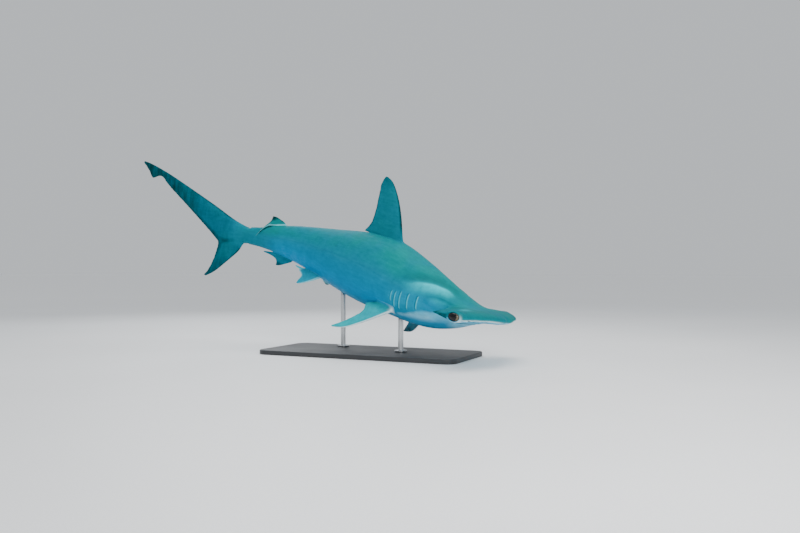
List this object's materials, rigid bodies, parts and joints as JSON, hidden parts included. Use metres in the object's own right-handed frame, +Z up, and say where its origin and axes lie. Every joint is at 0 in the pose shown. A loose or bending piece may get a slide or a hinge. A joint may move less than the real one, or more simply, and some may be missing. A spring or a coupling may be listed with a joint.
{
  "type": "scalloped hammerhead shark on a display stand",
  "caption": "Life-size scalloped hammerhead swimming nose down in a right-hand turn, tail swung back, held by short rods on a flat display base.",
  "frame": {"origin": "centre of the bounding box on the floor, under the display base", "axes": "+X the way the trunk swims, from tail to head; +Z up; the animal's right side faces -Y"},
  "size_m": [2.2524, 0.724, 1.108],
  "materials": {
    "skin": "satin, fine-grained skin, teal above and pale below",
    "fin": "satin, fine-grained skin, dark at the edges",
    "eye": "wet gloss, golden brown iris round a dark pupil",
    "stand": "fine-textured dark paint",
    "stand_rod": "brushed lengthwise"
  },
  "bodies": {
    "root": {"head": "skin", "trunk": "skin", "tail_stalk": "skin", "caudal_fin": "fin", "first_dorsal_fin": "fin", "second_dorsal_fin": "fin", "anal_fin": "fin", "pectoral_fin_right": "fin", "pectoral_fin_left": "fin", "pelvic_fin_right": "fin", "pelvic_fin_left": "fin", "eye_right": "eye", "eye_left": "eye", "stand_base": "stand", "stand_rod_front": "stand_rod", "stand_rod_rear": "stand_rod"}
  },
  "joints": []
}
